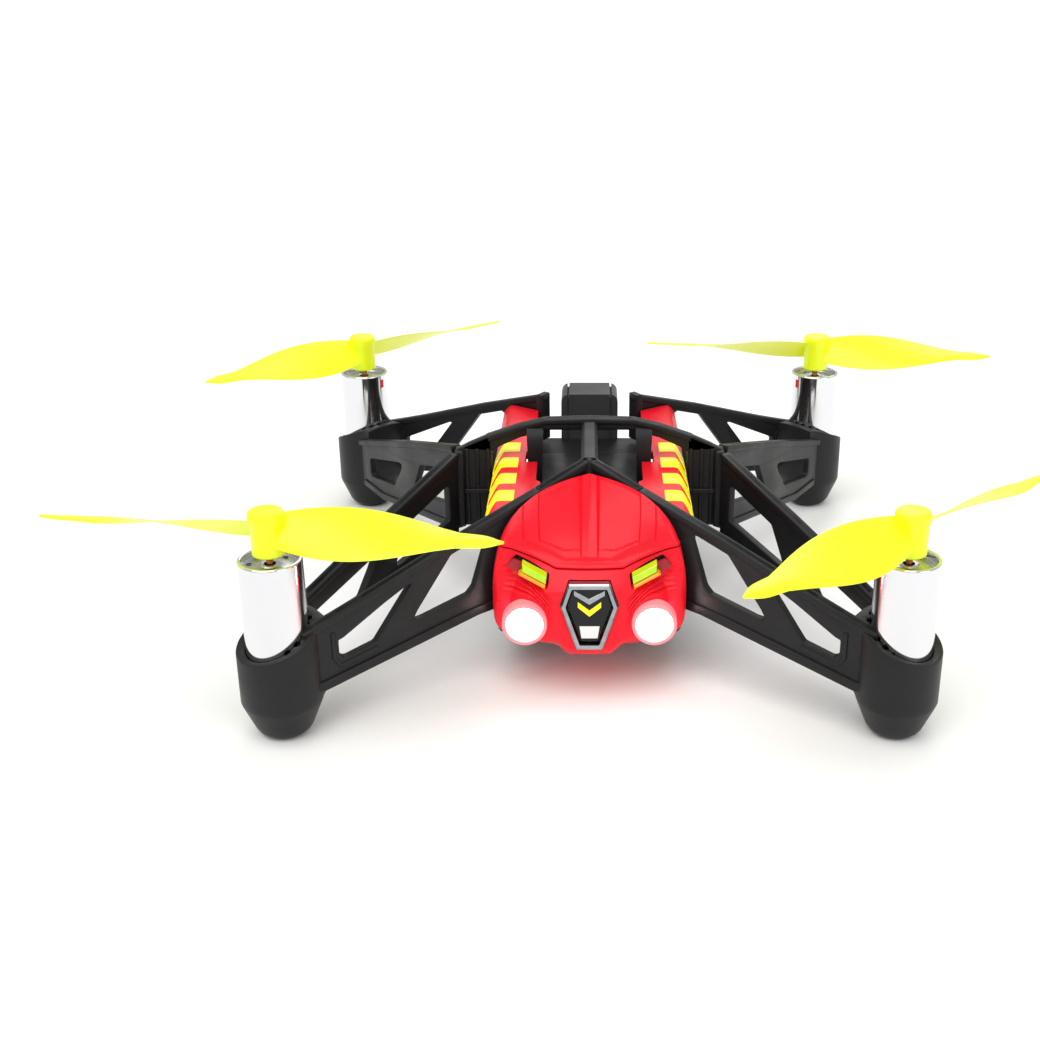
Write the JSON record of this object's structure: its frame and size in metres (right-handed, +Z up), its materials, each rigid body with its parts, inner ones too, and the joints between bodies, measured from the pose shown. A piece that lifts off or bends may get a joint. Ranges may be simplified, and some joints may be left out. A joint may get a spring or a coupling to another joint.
{
  "type": "mini palm drone",
  "caption": "Palm-sized quadcopter: black truss frame on cup feet, red nose and side panels, coreless motors in bright cans, yellow propellers, slide-out battery.",
  "frame": {"origin": "on the ground under the centre of the drone", "axes": "+Z up, nose toward -Y, +X to the right of a viewer who faces the nose"},
  "size_m": [0.154, 0.1326, 0.0346],
  "materials": {
    "frame_black": "fine moulded texture, satin black",
    "shell_red": "bright red gloss",
    "prop_yellow": "fluorescent yellow nylon",
    "motor_chrome": "mirror-bright plated can",
    "motor_plastic": "black",
    "magnet_grey": "nickel-plated magnet",
    "copper": "enamelled copper winding",
    "battery_grey": "dark grey moulded",
    "cell_foil": "pouch cell foil",
    "board_green": "circuit board",
    "gold": "gold-plated contacts",
    "lamp_white": "clear white lens, lit",
    "lens_lime": "lime lens",
    "badge_steel": "brushed grey",
    "badge_black": "black",
    "steel": "plain",
    "camera_glass": "black lens barrel"
  },
  "bodies": {
    "airframe": {"arm_front_left": "frame_black", "motor_can_front_left": "motor_chrome", "brush_cap_front_left": "motor_plastic", "magnet_front_left": "magnet_grey", "arm_front_right": "frame_black", "motor_can_front_right": "motor_chrome", "brush_cap_front_right": "motor_plastic", "magnet_front_right": "magnet_grey", "arm_rear_left": "frame_black", "motor_can_rear_left": "motor_chrome", "brush_cap_rear_left": "motor_plastic", "magnet_rear_left": "magnet_grey", "arm_rear_right": "frame_black", "motor_can_rear_right": "motor_chrome", "brush_cap_rear_right": "motor_plastic", "magnet_rear_right": "magnet_grey", "centre_frame": "frame_black", "hood_shell": "shell_red", "nose_shell": "shell_red", "badge_bezel": "badge_steel", "badge_insert": "badge_black", "headlight_lens_left": "lamp_white", "headlight_led_left": "gold", "eye_lens_left": "lens_lime", "side_panel_left": "shell_red", "sonar_left": "steel", "headlight_lens_right": "lamp_white", "headlight_led_right": "gold", "eye_lens_right": "lens_lime", "side_panel_right": "shell_red", "sonar_right": "steel", "lamp_board": "board_green", "body_tub": "frame_black", "camera_module": "camera_glass", "belly_screw_1": "steel", "belly_screw_2": "steel", "belly_screw_3": "steel", "belly_screw_4": "steel", "main_board": "board_green", "usb_socket": "steel", "battery_contacts": "gold"},
    "battery": {"battery_case": "battery_grey", "battery_cell": "cell_foil"},
    "button": {"power_button": "battery_grey"},
    "spinner_front_left": {"rotor_front_left": "copper", "propeller_front_left": "prop_yellow"},
    "spinner_front_right": {"rotor_front_right": "copper", "propeller_front_right": "prop_yellow"},
    "spinner_rear_left": {"rotor_rear_left": "copper", "propeller_rear_left": "prop_yellow"},
    "spinner_rear_right": {"rotor_rear_right": "copper", "propeller_rear_right": "prop_yellow"}
  },
  "joints": [
    {"name": "spin_front_left", "type": "hinge", "parent": "airframe", "child": "spinner_front_left", "pos_m": [-0.0441, -0.0441, 0.028], "axis": [0, 0, 1], "continuous": true},
    {"name": "spin_front_right", "type": "hinge", "parent": "airframe", "child": "spinner_front_right", "pos_m": [0.0441, -0.0441, 0.028], "axis": [0, 0, 1], "continuous": true},
    {"name": "spin_rear_left", "type": "hinge", "parent": "airframe", "child": "spinner_rear_left", "pos_m": [-0.0441, 0.0441, 0.028], "axis": [0, 0, 1], "continuous": true},
    {"name": "spin_rear_right", "type": "hinge", "parent": "airframe", "child": "spinner_rear_right", "pos_m": [0.0441, 0.0441, 0.028], "axis": [0, 0, 1], "continuous": true},
    {"name": "battery_slide", "type": "slide", "parent": "airframe", "child": "battery", "axis": [0, 1, 0], "range_m": [0, 0.05]},
    {"name": "button_press", "type": "slide", "parent": "airframe", "child": "button", "axis": [0, 0, 1], "range_m": [0, 0.0006], "stiffness_N_per_m": 250}
  ]
}
